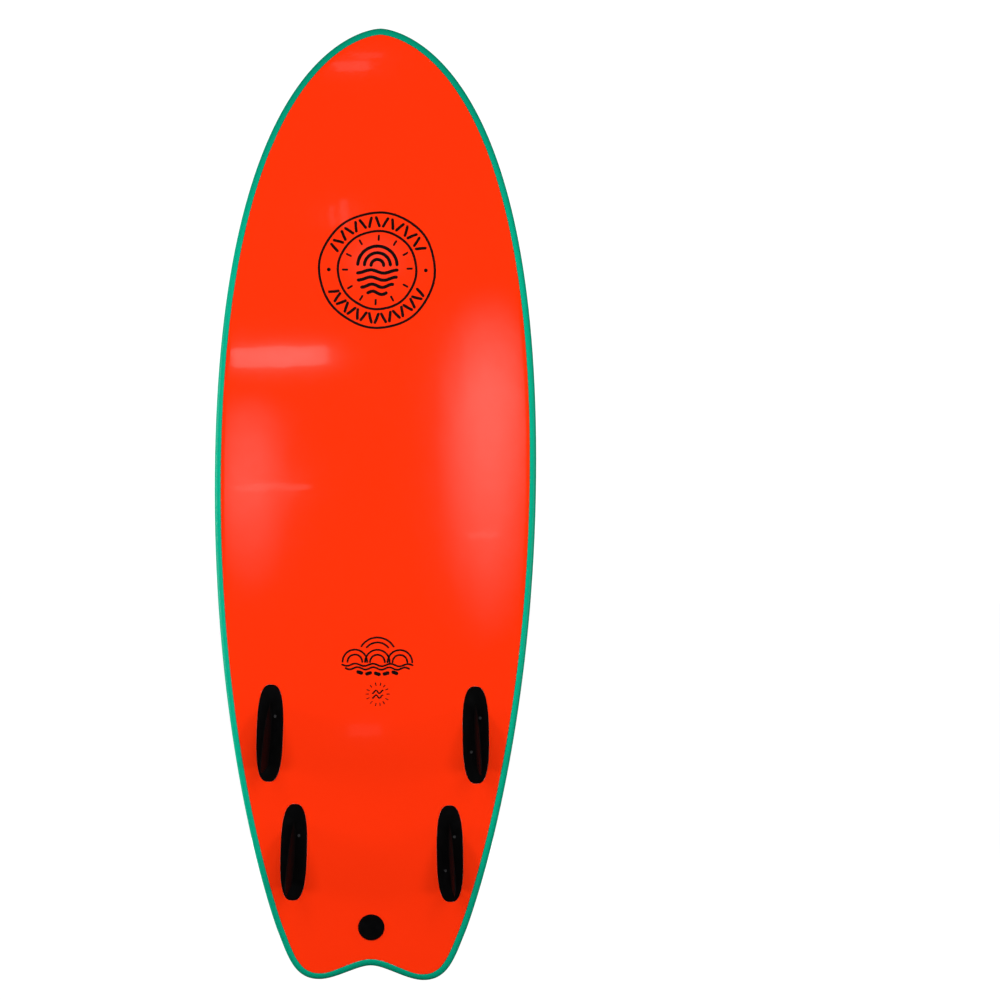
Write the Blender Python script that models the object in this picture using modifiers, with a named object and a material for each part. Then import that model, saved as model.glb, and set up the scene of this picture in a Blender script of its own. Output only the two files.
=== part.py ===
"""A 5 ft 7 in soft-top fish surfboard with a rounded swallow tail, four fin boxes with
twin-tab fins, and a through-board leash plug.

Metres, +Z up. The board stands on its tail: the nose is up, the deck faces -Y and the
slick bottom, with the fins, faces +Y. Right and left are those of someone who lies on
the deck and looks to the nose, so right is +X. The world origin is under the middle of
the bounding box, on the plane that the two tail tips touch.
"""

import math

import bmesh
import bpy
from mathutils import Matrix, Vector

# ---------------------------------------------------------------- driving dimensions
LENGTH = 1.702  # 5 ft 7 in
WIDTH = 0.572  # 22 1/2 in
THICKNESS = 0.066  # 2 5/8 in, at the thickest section
GAP = 0.0003  # between pieces that touch
CLEAR = 0.006  # how far a cutter stands out of the face it cuts
WELD = 0.00002
RIM_STEPS, ROUND_STEPS, SCREW_STEPS = 32, 20, 16

# Where the flat spot of the bottom lies in y, so that the bounding box is centred.
BOTTOM_Y = 0.004965

# Outline, right half: each anchor has its place (x, z) and its two handles.
WIDE_Z = 0.900  # height of the widest point
NOSE_HANDLE = 0.024
WIDE_HANDLE_UP = 0.764
WIDE_HANDLE_DOWN = 0.485
HIP = (0.167, 0.086)
HIP_ANGLE = math.radians(22)  # the rail's lean there, from the vertical
HIP_HANDLE_UP = 0.020
HIP_HANDLE_DOWN = 0.048
TIP_X = 0.093
TIP_HANDLE_OUT = 0.045
TIP_HANDLE_IN = 0.030
NOTCH_Z = 0.0255
NOTCH_HANDLE = 0.025
ARC_STEPS = (13, 8, 4, 5)  # nose to wide point, to hip, to tail tip, to notch

# Long profile.
FLAT_LOW, FLAT_HIGH = 0.620, 0.980  # the flat spot of the rocker
NOSE_ROCKER, NOSE_POWER = 0.095, 2.2
TAIL_ROCKER, TAIL_POWER = 0.038, 2.0
THICKEST_Z = 0.860
NOSE_THICKNESS, TAIL_THICKNESS, THICKNESS_POWER = 0.027, 0.034, 2.2
SPINE_LOW, SPINE_HIGH = 0.105, LENGTH - 0.060

# Section.
APEX_SHARE = 0.30  # height of the rail's apex, as a share of the thickness
TUCK = 0.012  # how far in the rail's lower curve reaches
SEAM = 0.0115  # the deck skin wraps under the rail to this inset
DECK_POWER, DECK_ROOT = 3.6, 2.5
DECK_RINGS = (1.0, 0.62, 0.36, 0.17, 0.07, 0.022, 0.005)  # share of the way to the spine
TUCK_STEPS = 3
BOTTOM_RINGS = (0.35, 1.0)

# Layers.
SKIN = 0.005
SLICK = 0.0012
BACKING = 0.003
STRINGER_X, STRINGER = 0.070, 0.004

# Fin boxes: place of the right-hand ones on the bottom, and their lean.
BOX_PLACES = {"front": (0.183, 0.440), "rear": (0.139, 0.228)}
TOE_IN = math.radians(1.4)
CANT = math.radians(5.0)
BOX_HALF_WIDTH, BOX_HALF_LENGTH = 0.0233, 0.0864
BOX_POWER = 2.8
FLANGE, FLANGE_PROUD, FLANGE_EDGE = 0.0024, 0.0006, 0.0006
PLUG_RADIUS, PLUG_DEPTH = 0.0145, 0.0170
RIB_HALF_WIDTH, RIB_DEPTH = 0.006, 0.009  # between the two round bodies
TAB_SPACING = 0.0604
TAB_LENGTH, TAB_HALF_THICK, TAB_DEPTH, TAB_ROOT = 0.0220, 0.0028, 0.0130, 0.0022
SCREW_RADIUS, SCREW_LENGTH, SCREW_HOLE = 0.0025, 0.0060, 0.0085
SCREW_SIDE = 0.0088  # from the box's centre line to the screw's head
SCREW_LEAN = math.radians(28)
HEX_RADIUS, HEX_DEPTH = 0.0014, 0.0026

# Fins.
FIN_BASE, FIN_HEIGHT = 0.112, 0.112
FIN_THICK, FIN_TIP_THICK = 0.0066, 0.0022
FIN_SECTIONS, FIN_POINTS = 9, 9
FIN_TAPER, FIN_TIP_POWER, FIN_TIP_ROOT = 0.25, 2.4, 0.55  # how the chord shrinks to the tip
FIN_RAKE, FIN_RAKE_POWER = 0.050, 1.5  # how far the tip's middle lies behind the base's
FIN_EDGE = 0.0004  # half the thickness of the leading and trailing edges
FIN_FULLNESS = 0.75  # under 1, the foil is thickest ahead of its middle

# Leash plug.
PLUG_Z = 0.095
CUP_FLANGE_RADIUS, CUP_FLANGE, CUP_PROUD, CUP_EDGE = 0.0232, 0.0022, 0.0010, 0.0006
CUP_RADIUS, CUP_DEPTH = 0.0208, 0.0190
SLOT_HALF_WIDTH, SLOT_HALF_LENGTH, SLOT_DEPTH, SLOT_RAMP = 0.0065, 0.0180, 0.0150, 0.0081
BAR_HALF_HEIGHT, BAR_THICK, BAR_SINK, BAR_NOTCH = 0.0048, 0.0050, 0.0012, 0.0020
BAR_EDGE = 0.0010
GROOVES = (0.0100, 0.0140, 0.0178)  # each one's distance from the slot's centre line
GROOVE_HALF_WIDTH, GROOVE_DEPTH, GROOVE_REACH = 0.0005, 0.0006, 0.0205
CAP_RADIUS, CAP_THICK, CAP_PROUD, CAP_EDGE = 0.0234, 0.0021, 0.0025, 0.0008
STEM_RADIUS, STEM_GAP = 0.0065, 0.0008

# Angles, in degrees, over which an edge is drawn sharp.
CREASE, LAYER_CREASE, BAR_CREASE = 35, 30, 50

PARTS = "surfboard"
CUTTERS = "cutters"


# ---------------------------------------------------------------- scene and materials
def clear_scene():
    for obj in list(bpy.data.objects):
        bpy.data.objects.remove(obj, do_unlink=True)


def collection(name):
    found = bpy.data.collections.get(name)
    if found is None:
        found = bpy.data.collections.new(name)
        bpy.context.scene.collection.children.link(found)
    return found


def material(name, colour, roughness, metallic=0.0):
    made = bpy.data.materials.new(name)
    made.use_nodes = True
    shader = made.node_tree.nodes["Principled BSDF"]
    shader.inputs["Base Color"].default_value = (*colour, 1.0)
    shader.inputs["Roughness"].default_value = roughness
    shader.inputs["Metallic"].default_value = metallic
    return made


def add(name, mesh, look, where=PARTS):
    """An object of the mesh. A look is a material's name, colour, roughness and metallic value."""
    obj = bpy.data.objects.new(name, mesh)
    collection(where).objects.link(obj)
    if look is not None:
        mesh.materials.append(material(*look))
    return obj


def add_cutter(name, mesh):
    obj = add(name, mesh, None, CUTTERS)
    obj.hide_render = True
    obj.display_type = "WIRE"
    return obj


def to_mesh(name, bm):
    bmesh.ops.recalc_face_normals(bm, faces=bm.faces)
    mesh = bpy.data.meshes.new(name)
    bm.to_mesh(mesh)
    bm.free()
    return mesh


def boolean(obj, operation, cutter):
    modifier = obj.modifiers.new(f"{operation.lower()} {cutter.name}", "BOOLEAN")
    modifier.operation = operation
    modifier.object = cutter
    modifier.solver = "EXACT"


def smooth(obj, angle):
    obj.data.shade_smooth()
    obj.data.set_sharp_from_angle(angle=math.radians(angle))


# ---------------------------------------------------------------- the board's form
def bezier(a, b, c, d, steps):
    """Points along a cubic arc, without its last one."""
    points = []
    for i in range(steps):
        t = i / steps
        s = 1 - t
        weights = (s**3, 3 * s * s * t, 3 * s * t * t, t**3)
        points.append(sum((w * Vector(p) for w, p in zip(weights, (a, b, c, d))), Vector((0, 0))))
    return points


def outline():
    """The board's outline as (x, z) points, from the nose down the right side to the notch and back."""
    half = WIDTH / 2
    nose, wide, hip = Vector((0, LENGTH)), Vector((half, WIDE_Z)), Vector(HIP)
    tip, notch = Vector((TIP_X, 0)), Vector((0, NOTCH_Z))
    along = Vector((math.sin(HIP_ANGLE), math.cos(HIP_ANGLE)))
    up, out = Vector((0, 1)), Vector((1, 0))
    right = bezier(nose, nose + NOSE_HANDLE * out, wide + WIDE_HANDLE_UP * up, wide, ARC_STEPS[0])
    right += bezier(wide, wide - WIDE_HANDLE_DOWN * up, hip + HIP_HANDLE_UP * along, hip, ARC_STEPS[1])
    right += bezier(hip, hip - HIP_HANDLE_DOWN * along, tip + TIP_HANDLE_OUT * out, tip, ARC_STEPS[2])
    right += bezier(tip, tip - TIP_HANDLE_IN * out, notch + NOTCH_HANDLE * out, notch, ARC_STEPS[3])
    right.append(notch)
    left = [Vector((-p.x, p.y)) for p in reversed(right[1:-1])]
    return right + left


def bottom_y(z):
    """The bottom's y at a height: it is flat amidships and curves to the deck side at both ends."""
    if z > FLAT_HIGH:
        return BOTTOM_Y - NOSE_ROCKER * ((z - FLAT_HIGH) / (LENGTH - FLAT_HIGH)) ** NOSE_POWER
    if z < FLAT_LOW:
        return BOTTOM_Y - TAIL_ROCKER * ((FLAT_LOW - z) / FLAT_LOW) ** TAIL_POWER
    return BOTTOM_Y


def thickness(z):
    """The board's thickness on its centre line."""
    if z > THICKEST_Z:
        end, share = NOSE_THICKNESS, (z - THICKEST_Z) / (LENGTH - THICKEST_Z)
    else:
        end, share = TAIL_THICKNESS, (THICKEST_Z - z) / THICKEST_Z
    return THICKNESS - (THICKNESS - end) * share**THICKNESS_POWER


def surface_y(z, inward, on_deck):
    """y of the deck or the bottom. inward is the share of the way to the spine on the deck,
    and the inset from the outline, in metres, on the bottom."""
    apex = APEX_SHARE * thickness(z)
    if on_deck:
        rise = (1 - (1 - inward) ** DECK_POWER) ** (1 / DECK_ROOT)
        return bottom_y(z) - apex - (thickness(z) - apex) * rise
    curve = max(0.0, 1 - inward / TUCK)
    return bottom_y(z) - apex * (1 - math.sqrt(1 - curve**2))


def centre_normal(z, on_deck):
    """The outward normal of the deck or the bottom on the centre line."""
    step = 0.001
    slope = (surface_y(z + step, 1.0, on_deck) - surface_y(z - step, 1.0, on_deck)) / (2 * step)
    normal = Vector((0, 1, -slope)).normalized()
    return -normal if on_deck else normal


def seat(x, z, on_deck, toe_in=0.0):
    """A frame on the deck or the bottom: its Y axis points out and its Z axis to the nose."""
    out = centre_normal(z, on_deck)
    side = out.cross(Vector((0, 0, 1))).normalized()
    ahead = side.cross(out)
    turn = Matrix((side, out, ahead)).transposed().to_4x4()
    place = Matrix.Translation((x, surface_y(z, 1.0, on_deck), z))
    return place @ turn @ Matrix.Rotation(toe_in, 4, "Y")


class Board:
    """The outer form as rings of points, from the deck's spine over the rail to the bottom's spine."""

    def __init__(self):
        self.edge = outline()
        count = len(self.edge)
        self.spine, self.reach = [], []
        for i, point in enumerate(self.edge):
            spine = Vector((0, min(max(point.y, SPINE_LOW), SPINE_HIGH)))
            tangent = (self.edge[(i + 1) % count] - self.edge[i - 1]).normalized()
            inward = Vector((tangent.y, -tangent.x))
            self.spine.append(spine)
            self.reach.append((spine - point).dot(inward))
        self.rings = [self.ring_by_share(share, True) for share in DECK_RINGS]
        self.rings.append(self.ring_by_inset(0.0))
        self.apex = len(self.rings) - 1
        for step in range(1, TUCK_STEPS):
            turn = math.pi / 2 * step / TUCK_STEPS
            self.rings.append(self.ring_by_inset(SEAM * (1 - math.cos(turn))))
        self.rings.append(self.ring_by_inset(SEAM))
        self.seam = len(self.rings) - 1
        self.rings.append(self.ring_by_inset(SEAM + GAP))
        self.rings.append(self.ring_by_inset(TUCK))
        self.rings += [self.ring_by_share(share, False) for share in BOTTOM_RINGS]
        self.normals = self.ring_normals()

    def ring_by_share(self, share, on_deck):
        ring = []
        for edge, spine, reach in zip(self.edge, self.spine, self.reach):
            x, z = edge.lerp(spine, share)
            ring.append(Vector((x, surface_y(z, share if on_deck else share * reach, on_deck), z)))
        return ring

    def ring_by_inset(self, inset):
        ring = []
        for edge, spine, reach in zip(self.edge, self.spine, self.reach):
            x, z = edge.lerp(spine, inset / reach)
            ring.append(Vector((x, surface_y(z, inset, False), z)))
        return ring

    def ring_normals(self):
        """Each point's outward normal, from the rings and columns round it."""
        normals = []
        last = len(self.rings) - 1
        count = len(self.edge)
        for r, ring in enumerate(self.rings):
            before, after = self.rings[max(r - 1, 0)], self.rings[min(r + 1, last)]
            row = []
            for i in range(count):
                across = after[i] - before[i]
                around = ring[(i + 1) % count] - ring[i - 1]
                row.append(around.cross(across).normalized())
            normals.append(row)
        normals[0] = [centre_normal(spine.y, True) for spine in self.spine]
        for r in range(self.seam, last + 1):
            normals[r] = [centre_normal(point.z, False) for point in self.rings[r]]
        return normals

    def inner(self, ring, depth):
        """A ring moved into the board by a depth."""
        return [p - n * depth for p, n in zip(self.rings[ring], self.normals[ring])]


def skin_over(bm, upper, lower):
    """Triangles between two rings, all split the same way so that neighbouring layers stay parallel."""
    for i in range(len(upper)):
        j = (i + 1) % len(upper)
        bm.faces.new((upper[i], upper[j], lower[j]))
        bm.faces.new((upper[i], lower[j], lower[i]))


def loft(name, sheets, seam=None):
    """A closed solid skinned over one sheet of rings, or over two that meet at the ring numbered seam.
    Where a sheet isn't joined to another, its end ring lies flat on the spine."""
    bm = bmesh.new()
    made = [[[bm.verts.new(p) for p in ring] for ring in sheet] for sheet in sheets]
    for sheet in made:
        for upper, lower in zip(sheet, sheet[1:]):
            skin_over(bm, upper, lower)
    if seam is not None:
        skin_over(bm, made[0][seam], made[1][seam])
    bmesh.ops.remove_doubles(bm, verts=bm.verts, dist=WELD)
    return to_mesh(name, bm)


# ---------------------------------------------------------------- simple solids
def block(name, low, high):
    bm = bmesh.new()
    bmesh.ops.create_cube(bm, size=1.0)
    low, high = Vector(low), Vector(high)
    size = high - low
    for vert in bm.verts:
        vert.co = Vector(v * s for v, s in zip(vert.co, size)) + (low + high) / 2
    return to_mesh(name, bm)


def disc(name, radius, low, high, segments, top_radius=None):
    """A round solid about the local Y axis, from y = low to y = high."""
    bm = bmesh.new()
    bmesh.ops.create_cone(
        bm,
        cap_ends=True,
        segments=segments,
        radius1=radius,
        radius2=top_radius or radius,
        depth=high - low,
    )
    turn = Matrix.Rotation(math.radians(-90), 4, "X")
    bmesh.ops.transform(bm, matrix=Matrix.Translation((0, (low + high) / 2, 0)) @ turn, verts=bm.verts)
    return to_mesh(name, bm)


def plate(name, points, low, high, edge):
    """An outline in the local XZ plane made solid from y = low to y = high, with a bevelled upper edge."""
    bm = bmesh.new()
    rings = []
    for y, inset in ((low, 0.0), (high - edge, 0.0), (high, edge)):
        ring = []
        for x, z in points:
            shrink = 1 - inset / math.hypot(x, z)
            ring.append(bm.verts.new((x * shrink, y, z * shrink)))
        rings.append(ring)
    bm.faces.new(rings[0])
    bm.faces.new(rings[-1])
    for lower, upper in zip(rings, rings[1:]):
        for i in range(len(points)):
            j = (i + 1) % len(points)
            bm.faces.new((lower[i], lower[j], upper[j], upper[i]))
    return to_mesh(name, bm)


def oval(half_width, half_length, power, steps):
    """A superellipse's points (x, z)."""
    points = []
    for i in range(steps):
        turn = 2 * math.pi * (i + 0.5) / steps
        c, s = math.cos(turn), math.sin(turn)
        x = half_width * math.copysign(abs(c) ** (2 / power), c)
        z = half_length * math.copysign(abs(s) ** (2 / power), s)
        points.append((x, z))
    return points


def circle(radius, steps):
    return [(p[0], p[1]) for p in oval(radius, radius, 2, steps)]


# ---------------------------------------------------------------- fin boxes
def box_body(name, place, grow, look=None):
    """A fin box without its slots: an oval flange, a round body under each tab and a rib between them."""
    make = add if look else lambda label, mesh, _: add_cutter(label, mesh)
    top = FLANGE_PROUD if look else FLANGE_PROUD + CLEAR
    points = oval(BOX_HALF_WIDTH + grow, BOX_HALF_LENGTH + grow, BOX_POWER, RIM_STEPS)
    obj = make(name, plate(name, points, FLANGE_PROUD - FLANGE - grow, top, FLANGE_EDGE), look)
    obj.matrix_world = place
    under = FLANGE_PROUD - FLANGE / 2
    half_width, half_length = RIB_HALF_WIDTH + grow, TAB_SPACING / 2
    shapes = [block(name, (-half_width, -RIB_DEPTH - grow, -half_length), (half_width, under, half_length))]
    for side in (-1, 1):
        mesh = disc(name, PLUG_RADIUS + grow, -PLUG_DEPTH - grow, under, ROUND_STEPS)
        mesh.transform(Matrix.Translation((0, 0, side * TAB_SPACING / 2)))
        shapes.append(mesh)
    for number, mesh in enumerate(shapes):
        added = add_cutter(f"{name} body {number}", mesh)
        added.matrix_world = place
        boolean(obj, "UNION", added)
    return obj


def screw_place(place, end):
    """The frame of a grub screw, with its Y axis along the screw. end is 1 at the fore tab, -1 at the aft."""
    head = Matrix.Translation((-end * SCREW_SIDE, FLANGE_PROUD - GAP, end * TAB_SPACING / 2))
    return place @ head @ Matrix.Rotation(end * SCREW_LEAN, 4, "Z")


def make_box(name, place, cant):
    look = ("fin box plastic", (0.012, 0.012, 0.013), 0.45)
    obj = box_body(name, place, 0.0, look)
    for end in (1, -1):
        low = (-TAB_HALF_THICK - GAP, -TAB_DEPTH - GAP, end * TAB_SPACING / 2 - TAB_LENGTH / 2 - GAP)
        high = (TAB_HALF_THICK + GAP, CLEAR, end * TAB_SPACING / 2 + TAB_LENGTH / 2 + GAP)
        slot = add_cutter(f"{name} slot {end}", block(name, low, high))
        slot.matrix_world = place @ cant
        boolean(obj, "DIFFERENCE", slot)
        drill = disc(name, SCREW_RADIUS + GAP, -SCREW_HOLE, CLEAR, ROUND_STEPS)
        hole = add_cutter(f"{name} screw hole {end}", drill)
        hole.matrix_world = screw_place(place, end)
        boolean(obj, "DIFFERENCE", hole)
    smooth(obj, CREASE)


def make_screw(name, place):
    """A headless set screw with a hexagon socket."""
    look = ("grub screw steel", (0.20, 0.20, 0.21), 0.35, 1.0)
    obj = add(name, disc(name, SCREW_RADIUS, -SCREW_LENGTH, 0, SCREW_STEPS), look)
    obj.matrix_world = place
    socket = add_cutter(f"{name} socket", disc(name, HEX_RADIUS, -HEX_DEPTH, CLEAR, 6))
    socket.matrix_world = place
    boolean(obj, "DIFFERENCE", socket)
    smooth(obj, CREASE)


# ---------------------------------------------------------------- fins
def fin_section(share):
    """The foil at a share of the fin's height, as (x, y, z) points round it."""
    chord = FIN_BASE * (1 - FIN_TAPER * share) * (1 - share**FIN_TIP_POWER) ** FIN_TIP_ROOT
    middle = -FIN_RAKE * share**FIN_RAKE_POWER
    thick = FIN_THICK + (FIN_TIP_THICK - FIN_THICK) * share
    y = 2 * GAP + FLANGE_PROUD + FIN_HEIGHT * share
    front, back = [], []
    for i in range(FIN_POINTS):
        along = 0.5 - 0.5 * math.cos(math.pi * i / (FIN_POINTS - 1))
        half = max(thick / 2 * math.sin(math.pi * along**FIN_FULLNESS), FIN_EDGE)
        z = middle + chord * (0.5 - along)
        front.append(Vector((half, y, z)))
        back.append(Vector((-half, y, z)))
    return front + back[::-1]


def make_fin(name, place):
    """A foiled blade, leaning back, on two tabs."""
    shares = [math.sin(math.pi / 2 * i / FIN_SECTIONS) for i in range(FIN_SECTIONS)]
    bm = bmesh.new()
    rings = [[bm.verts.new(p) for p in fin_section(share)] for share in shares]
    for lower, upper in zip(rings, rings[1:]):
        for i in range(len(lower)):
            j = (i + 1) % len(lower)
            bm.faces.new((lower[i], lower[j], upper[j], upper[i]))
    bm.faces.new(rings[0])
    bm.faces.new(rings[-1])
    obj = add(name, to_mesh(name, bm), ("fin plastic", (0.015, 0.015, 0.016), 0.35))
    obj.matrix_world = place
    for end in (1, -1):
        middle = end * TAB_SPACING / 2
        low = (-TAB_HALF_THICK, -TAB_DEPTH, middle - TAB_LENGTH / 2)
        high = (TAB_HALF_THICK, FLANGE_PROUD + TAB_ROOT, middle + TAB_LENGTH / 2)
        tab = add_cutter(f"{name} tab {end}", block(name, low, high))
        tab.matrix_world = place
        boolean(obj, "UNION", tab)
    smooth(obj, LAYER_CREASE)


# ---------------------------------------------------------------- leash plug
def cup_body(name, place, grow, look=None):
    """The leash cup without its slot: a flange on a round body."""
    make = add if look else lambda label, mesh, _: add_cutter(label, mesh)
    top = CUP_PROUD if look else CUP_PROUD + CLEAR
    points = circle(CUP_FLANGE_RADIUS + grow, RIM_STEPS)
    obj = make(name, plate(name, points, CUP_PROUD - CUP_FLANGE - grow, top, CUP_EDGE), look)
    obj.matrix_world = place
    body = disc(name, CUP_RADIUS + grow, -CUP_DEPTH - grow, CUP_PROUD - CUP_FLANGE / 2, RIM_STEPS)
    under = add_cutter(f"{name} body", body)
    under.matrix_world = place
    boolean(obj, "UNION", under)
    return obj


def slot_mesh(name):
    """The cup's slot, whose tail end slopes up as a ramp for the leash string."""
    low = (-SLOT_HALF_WIDTH, -SLOT_DEPTH, -SLOT_HALF_LENGTH)
    high = (SLOT_HALF_WIDTH, CLEAR, SLOT_HALF_LENGTH)
    mesh = block(name, low, high)
    for vert in mesh.vertices:
        if vert.co.y < 0 and vert.co.z < 0:
            vert.co.z += SLOT_RAMP
    return mesh


def make_leash_plug(deck_place, bottom_place):
    black = ("leash plug plastic", (0.012, 0.012, 0.013), 0.42)
    cup = cup_body("leash_cup", deck_place, 0.0, black)
    slot = add_cutter("leash slot", slot_mesh("leash slot"))
    slot.matrix_world = deck_place
    boolean(cup, "DIFFERENCE", slot)
    reach = SLOT_HALF_WIDTH + BAR_NOTCH
    high = CUP_PROUD - BAR_SINK
    low = high - BAR_THICK
    notch_low = (-reach, low - GAP, -BAR_HALF_HEIGHT - GAP)
    notch_high = (reach, CLEAR, BAR_HALF_HEIGHT + GAP)
    notch = add_cutter("leash bar notch", block("leash bar notch", notch_low, notch_high))
    notch.matrix_world = deck_place
    boolean(cup, "DIFFERENCE", notch)
    for number, x in enumerate(GROOVES):
        half_length = math.sqrt(GROOVE_REACH**2 - x**2)
        for side in (-1, 1):
            centre = side * x
            groove_low = (centre - GROOVE_HALF_WIDTH, CUP_PROUD - GROOVE_DEPTH, -half_length)
            groove_high = (centre + GROOVE_HALF_WIDTH, CLEAR, half_length)
            label = f"leash cup groove {side * (number + 1)}"
            groove = add_cutter(label, block(label, groove_low, groove_high))
            groove.matrix_world = deck_place
            boolean(cup, "DIFFERENCE", groove)
    smooth(cup, CREASE)

    bar = block("leash_bar", (-reach + GAP, low, -BAR_HALF_HEIGHT), (reach - GAP, high, BAR_HALF_HEIGHT))
    obj = add("leash_bar", bar, ("leash bar plastic", (0.015, 0.015, 0.016), 0.38))
    obj.matrix_world = deck_place
    edge = obj.modifiers.new("rounded edges", "BEVEL")
    edge.width = BAR_EDGE
    edge.segments = 2
    smooth(obj, BAR_CREASE)

    cap_body("leash_cap", bottom_place, 0.0, black)


def cap_body(name, place, grow, look=None):
    """The plug's cap on the bottom: a low disc, on a stem that reaches to the cup."""
    make = add if look else lambda label, mesh, _: add_cutter(label, mesh)
    top = CAP_PROUD if look else CAP_PROUD + CLEAR
    points = circle(CAP_RADIUS + grow, RIM_STEPS)
    obj = make(name, plate(name, points, CAP_PROUD - CAP_THICK - grow, top, CAP_EDGE), look)
    obj.matrix_world = place
    room = thickness(PLUG_Z) - CUP_DEPTH - STEM_GAP
    stem = disc(name, STEM_RADIUS + grow, -room - grow, CAP_PROUD - CAP_THICK / 2, ROUND_STEPS)
    under = add_cutter(f"{name} stem", stem)
    under.matrix_world = place
    boolean(obj, "UNION", under)
    smooth(obj, CREASE)
    return obj


# ---------------------------------------------------------------- the board's layers
def slab(name, low_x, high_x):
    return add_cutter(name, block(name, (low_x, -WIDTH, -WIDTH), (high_x, WIDTH, LENGTH + WIDTH)))


def make_layers(board, spaces):
    """The foam blank with its stringers, the skins round it, and the room for the fittings."""
    seam = board.seam
    bottom = range(seam + 1, len(board.rings))
    top, under = SLICK + GAP, SLICK + GAP + BACKING
    skin = [[board.inner(r, depth) for r in range(seam + 1)] for depth in (0.0, SKIN)]
    slick = [[board.inner(r, depth) for r in bottom] for depth in (0.0, SLICK)]
    backing = [[board.inner(r, depth) for r in bottom] for depth in (top, under)]
    blank = [board.inner(r, SKIN + GAP) for r in range(seam + 1)]
    blank += [board.inner(r, under + GAP) for r in bottom]

    deck_foam = ("deck foam", (0.0, 0.50, 0.30), 0.55)
    plastic = ("slick bottom", (1.0, 0.035, 0.005), 0.18)
    sheet_foam = ("backing foam", (0.85, 0.85, 0.83), 0.8)
    deck_skin = add("deck_skin", loft("deck_skin", skin, -1), deck_foam)
    bottom_slick = add("bottom_slick", loft("bottom_slick", slick, 0), plastic)
    bottom_backing = add("bottom_backing", loft("bottom_backing", backing, 0), sheet_foam)
    inner, outer = STRINGER_X - STRINGER / 2, STRINGER_X + STRINGER / 2
    foam = ("core foam", (0.92, 0.92, 0.90), 0.85)
    wood = ("stringer wood", (0.50, 0.32, 0.16), 0.6)
    strips = {
        "core_left": (-WIDTH, -outer - GAP, foam),
        "stringer_left": (-outer, -inner, wood),
        "core_centre": (-inner + GAP, inner - GAP, foam),
        "stringer_right": (inner, outer, wood),
        "core_right": (outer + GAP, WIDTH, foam),
    }
    layers = {"deck_skin": deck_skin, "bottom_slick": bottom_slick, "bottom_backing": bottom_backing}
    for name, (low, high, look) in strips.items():
        layers[name] = add(name, loft(name, [blank]), look)
        boolean(layers[name], "INTERSECT", slab(f"{name} slice", low, high))

    for where, cutters in spaces.items():
        for cutter in cutters:
            boolean(layers[where], "DIFFERENCE", cutter)
    for name in ("deck_skin", "bottom_slick", "bottom_backing"):
        smooth(layers[name], LAYER_CREASE)


def main():
    clear_scene()
    board = Board()
    spaces = {
        "deck_skin": [],
        "bottom_slick": [],
        "bottom_backing": [],
        "core_left": [],
        "core_centre": [],
        "core_right": [],
    }
    for side, sign in (("left", -1), ("right", 1)):
        for row, (x, z) in BOX_PLACES.items():
            label = f"{row}_{side}"
            place = seat(sign * x, z, False, -sign * TOE_IN)
            cant = Matrix.Rotation(-sign * CANT, 4, "Z")
            make_box(f"fin_box_{label}", place, cant)
            make_fin(f"fin_{label}", place @ cant)
            for tab, end in (("fore", 1), ("aft", -1)):
                make_screw(f"grub_screw_{label}_{tab}", screw_place(place, end))
            room = box_body(f"fin box space {label}", place, GAP)
            for where in ("bottom_slick", "bottom_backing", f"core_{side}"):
                spaces[where].append(room)

    deck_place, bottom_place = seat(0, PLUG_Z, True), seat(0, PLUG_Z, False)
    make_leash_plug(deck_place, bottom_place)
    cup_room = cup_body("leash cup space", deck_place, GAP)
    cap_room = cap_body("leash cap space", bottom_place, GAP)
    spaces["deck_skin"].append(cup_room)
    spaces["core_centre"] += [cup_room, cap_room]
    spaces["bottom_slick"].append(cap_room)
    spaces["bottom_backing"].append(cap_room)
    make_layers(board, spaces)
    bpy.context.view_layer.update()


main()
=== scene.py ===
"""The looks of the soft-top fish surfboard: a smooth foam deck and slick bottom, refined fin
boxes, fins, set screws and leash plug, the prints, and a plain white studio.

Metres, +Z up, in the CAD model's frame: the nose is up, the deck faces -Y, the slick bottom
faces +Y, and +X is the right-hand side as seen from the deck.
"""

import math

import bmesh
import bpy
import numpy as np
from mathutils import Matrix, Vector, noise
from mathutils.bvhtree import BVHTree


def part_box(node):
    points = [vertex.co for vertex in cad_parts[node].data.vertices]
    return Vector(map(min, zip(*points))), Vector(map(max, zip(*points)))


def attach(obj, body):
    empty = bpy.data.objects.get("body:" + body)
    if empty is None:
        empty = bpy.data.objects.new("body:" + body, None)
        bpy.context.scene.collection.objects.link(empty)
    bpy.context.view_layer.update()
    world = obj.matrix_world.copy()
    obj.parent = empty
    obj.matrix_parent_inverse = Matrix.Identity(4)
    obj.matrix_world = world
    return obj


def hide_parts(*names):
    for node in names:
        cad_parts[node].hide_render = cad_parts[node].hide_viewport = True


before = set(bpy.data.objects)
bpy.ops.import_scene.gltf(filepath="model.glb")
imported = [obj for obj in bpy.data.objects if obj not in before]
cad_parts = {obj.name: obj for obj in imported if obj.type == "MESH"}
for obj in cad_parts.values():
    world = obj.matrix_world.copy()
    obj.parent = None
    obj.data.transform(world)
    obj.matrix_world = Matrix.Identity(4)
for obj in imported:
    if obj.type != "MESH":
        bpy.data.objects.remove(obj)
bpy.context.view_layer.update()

BOARD = "board"
LOW, HIGH = (Vector(corner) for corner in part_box("deck_skin"))
LENGTH = HIGH.z - LOW.z
WIDTH = HIGH.x - LOW.x
FLAT_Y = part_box("bottom_slick")[1][1]

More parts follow.
